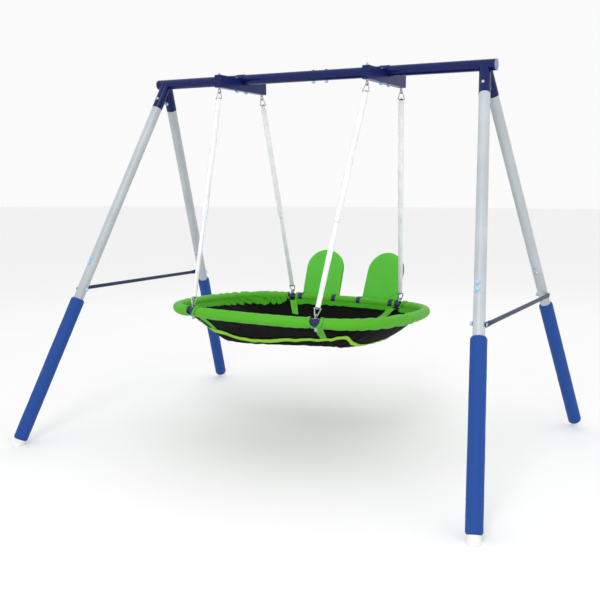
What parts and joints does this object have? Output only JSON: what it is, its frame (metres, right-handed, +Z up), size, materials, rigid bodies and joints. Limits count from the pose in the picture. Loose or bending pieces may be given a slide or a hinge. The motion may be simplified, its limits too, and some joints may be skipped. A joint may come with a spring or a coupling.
{
  "type": "swing set",
  "caption": "Free-standing A-frame swing set with a splayed padded frame and one oval platform swing that has a fabric bowl and folding backrests.",
  "frame": {"origin": "on the ground, in the middle between the four feet, straight under the middle of the beam", "axes": "X along the beam to the user's right, Y from the front to the back, Z up"},
  "size_m": [2.4392, 1.7808, 1.8499],
  "materials": {
    "navy_paint": "deep gloss navy powder coat",
    "slate_paint": "dark slate-navy powder coat",
    "arm_paint": "gloss navy powder coat",
    "white_paint": "satin pale grey-white powder coat",
    "blue_foam": "royal blue foam with a fine woven skin",
    "white_plastic": "moulded white plastic",
    "grey_plastic": "moulded grey-blue plastic",
    "pale_blue_plastic": "glossy pale blue plastic",
    "zinc_steel": "zinc plated steel",
    "bare_steel": "galvanised steel tube",
    "white_vinyl": "soft glossy white vinyl tube",
    "green_fabric": "bright green coated fabric",
    "black_fabric": "black coated polyester",
    "lime_webbing": "lime woven webbing",
    "grey_foam": "closed-cell padding foam",
    "navy_plastic": "gloss navy moulded plastic",
    "black_plastic": "moulded black plastic"
  },
  "bodies": {
    "frame": {"beam_bolts": "zinc_steel", "beam_end_plugs": "grey_plastic", "brace_bolts": "zinc_steel", "foam_sleeve_back_left": "blue_foam", "foam_sleeve_back_right": "blue_foam", "foam_sleeve_front_left": "blue_foam", "foam_sleeve_front_right": "blue_foam", "foot_cap_back_left": "white_plastic", "foot_cap_back_right": "white_plastic", "foot_cap_front_left": "white_plastic", "foot_cap_front_right": "white_plastic", "hanger_arm_left": "arm_paint", "hanger_arm_right": "arm_paint", "hanger_eye_bolts": "zinc_steel", "hanger_straps": "arm_paint", "hex_nuts": "zinc_steel", "leg_bolts": "zinc_steel", "leg_brace_left": "slate_paint", "leg_brace_right": "slate_paint", "lower_leg_back_left": "white_paint", "lower_leg_back_right": "white_paint", "lower_leg_front_left": "white_paint", "lower_leg_front_right": "white_paint", "nut_caps": "pale_blue_plastic", "strap_bolts": "zinc_steel", "top_beam_left": "navy_paint", "top_beam_right": "navy_paint", "upper_leg_back_left": "white_paint", "upper_leg_back_right": "white_paint", "upper_leg_front_left": "white_paint", "upper_leg_front_right": "white_paint"},
    "front_hangers": {"front_bottom_links": "zinc_steel", "front_chain_sleeves": "white_vinyl", "front_chains": "zinc_steel", "front_top_links": "zinc_steel"},
    "seat": {"backrest_clips": "navy_plastic", "backrest_pins": "zinc_steel", "clamp_eye_bolts": "zinc_steel", "clamp_nuts": "zinc_steel", "rim_clamps": "navy_plastic", "rim_cover_back": "green_fabric", "rim_cover_front": "green_fabric", "rim_cover_left": "green_fabric", "rim_cover_right": "green_fabric", "rim_foam": "grey_foam", "rim_tube": "bare_steel", "seat_bowl": "black_fabric", "seat_tabs": "green_fabric", "seat_webbing": "lime_webbing"},
    "back_hangers": {"back_bottom_links": "zinc_steel", "back_chain_sleeves": "white_vinyl", "back_chains": "zinc_steel", "back_top_links": "zinc_steel"},
    "backrest_left": {"backrest_left_pad": "green_fabric", "backrest_left_pivot_blocks": "black_plastic", "backrest_left_tube": "bare_steel"},
    "backrest_right": {"backrest_right_pad": "green_fabric", "backrest_right_pivot_blocks": "black_plastic", "backrest_right_tube": "bare_steel"}
  },
  "joints": [
    {"name": "front_swing", "type": "hinge", "parent": "frame", "child": "front_hangers", "pos_m": [0, -0.19, 1.7429], "axis": [1, 0, 0], "range_deg": [-15, 15]},
    {"name": "seat_level", "type": "hinge", "parent": "front_hangers", "child": "seat", "pos_m": [0, -0.47696, 0.72239], "axis": [1, 0, 0], "range_deg": [-6.5, 6.5]},
    {"name": "back_swing", "type": "hinge", "parent": "frame", "child": "back_hangers", "pos_m": [0, 0.19, 1.7429], "axis": [1, 0, 0], "range_deg": [-15, 15]},
    {"name": "backrest_left_fold", "type": "hinge", "parent": "seat", "child": "backrest_left", "pos_m": [-0.21987, 0.50605, 0.64716], "axis": [0.9948, 0.1017, -0.0043], "range_deg": [-70, 12]},
    {"name": "backrest_right_fold", "type": "hinge", "parent": "seat", "child": "backrest_right", "pos_m": [0.15387, 0.50605, 0.64716], "axis": [0.9948, -0.1017, 0.0043], "range_deg": [-70, 12]}
  ],
  "couplings": [
    {"joint": "seat_level", "follows": "front_swing", "ratio": -0.41},
    {"joint": "back_swing", "follows": "front_swing", "ratio": 0.985}
  ]
}
